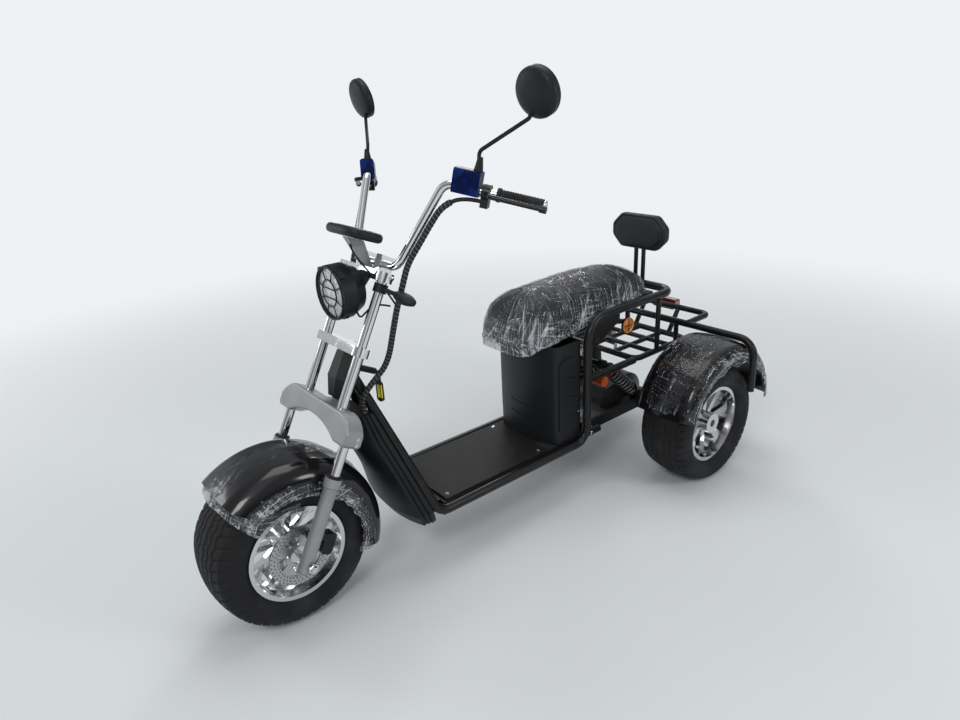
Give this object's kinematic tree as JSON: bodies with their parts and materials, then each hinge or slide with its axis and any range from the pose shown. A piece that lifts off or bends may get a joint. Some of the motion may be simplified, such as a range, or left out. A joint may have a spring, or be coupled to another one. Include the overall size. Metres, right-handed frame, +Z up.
{
  "type": "three-wheeled electric chopper",
  "caption": "Electric chopper trike with a fat steered front wheel, raised handlebar, step-through floor, lifting seat over the battery box, backrest and rear rack.",
  "frame": {"origin": "on the floor under the middle of the vehicle", "axes": "+Z up, -Y towards the front, +X towards the rider's left"},
  "size_m": [0.984, 1.9522, 1.4002],
  "materials": {
    "tyre_rubber": "matte moulded rubber",
    "polished_alloy": "polished",
    "disc_steel": "ground",
    "chrome": "bright plated",
    "silver_alloy": "satin silver paint",
    "black_paint": "satin powder coat",
    "black_plastic": "fine moulded grain",
    "gloss_black": "gloss under clear wrap",
    "black_rubber": "satin",
    "seat_leather": "soft grain",
    "battery_case": "plain",
    "motor_alloy": "cast, painted grey",
    "orange_anodised": "satin",
    "spring_steel": "plated",
    "lamp_glass": "fluted clear",
    "mirror_silver": "silvered",
    "red_lens": "moulded lens",
    "amber_lens": "moulded reflector"
  },
  "bodies": {
    "frame": {"main_frame": "black_paint", "head_cowl": "black_plastic", "leg_shield": "black_plastic", "floor_pan": "black_plastic", "foot_mat": "black_rubber", "seat_box": "black_plastic", "battery": "battery_case", "seat_hinge_pin": "disc_steel", "backrest_pad": "seat_leather", "backrest_posts": "black_paint", "rear_rack": "black_paint", "mudguard_left": "gloss_black", "mudguard_right": "gloss_black", "rear_axle": "motor_alloy", "swing_arm": "black_paint", "shock_dampers": "spring_steel", "shock_springs": "spring_steel", "shock_reservoirs": "orange_anodised", "tail_lamp": "red_lens", "side_reflectors": "amber_lens", "loom_shield": "black_rubber", "ignition_lock": "black_plastic"},
    "seat": {"seat_base": "black_plastic", "seat_cushion": "seat_leather"},
    "steering": {"fork_bridge": "silver_alloy", "middle_clamp": "chrome", "top_clamp": "chrome", "fork_tubes": "chrome", "fork_sliders": "silver_alloy", "front_axle": "disc_steel", "front_mudguard": "gloss_black", "handlebar": "chrome", "grips": "black_rubber", "switch_boxes": "black_plastic", "levers": "black_paint", "mirrors": "black_plastic", "mirror_glass": "mirror_silver", "lamp_housing": "black_plastic", "lamp_lens": "lamp_glass", "lamp_grille": "black_paint", "lamp_bracket": "black_paint", "instrument": "black_plastic", "dash_bracket": "black_paint", "front_signals": "black_plastic", "front_caliper": "black_paint", "loom_left": "black_rubber", "loom_lamp": "black_rubber"},
    "front_wheel": {"front_tyre": "tyre_rubber", "front_rim": "polished_alloy", "front_disc": "disc_steel"},
    "rear_wheel_left": {"rear_left_tyre": "tyre_rubber", "rear_left_rim": "polished_alloy"},
    "rear_wheel_right": {"rear_right_tyre": "tyre_rubber", "rear_right_rim": "polished_alloy"}
  },
  "joints": [
    {"name": "steering_turn", "type": "hinge", "parent": "frame", "child": "steering", "pos_m": [0, -0.49318, 0.63185], "axis": [0, 0.4633, 0.8862], "range_deg": [-35, 35]},
    {"name": "front_wheel_spin", "type": "hinge", "parent": "steering", "child": "front_wheel", "pos_m": [0, -0.751, 0.225], "axis": [1, 0, 0], "continuous": true},
    {"name": "rear_left_spin", "type": "hinge", "parent": "frame", "child": "rear_wheel_left", "pos_m": [0.353, 0.675, 0.214], "axis": [1, 0, 0], "continuous": true},
    {"name": "rear_right_spin", "type": "hinge", "parent": "frame", "child": "rear_wheel_right", "pos_m": [-0.353, 0.675, 0.214], "axis": [1, 0, 0], "continuous": true},
    {"name": "seat_lift", "type": "hinge", "parent": "frame", "child": "seat", "pos_m": [0, 0.13, 0.552], "axis": [1, 0, 0], "range_deg": [0, 65]}
  ]
}
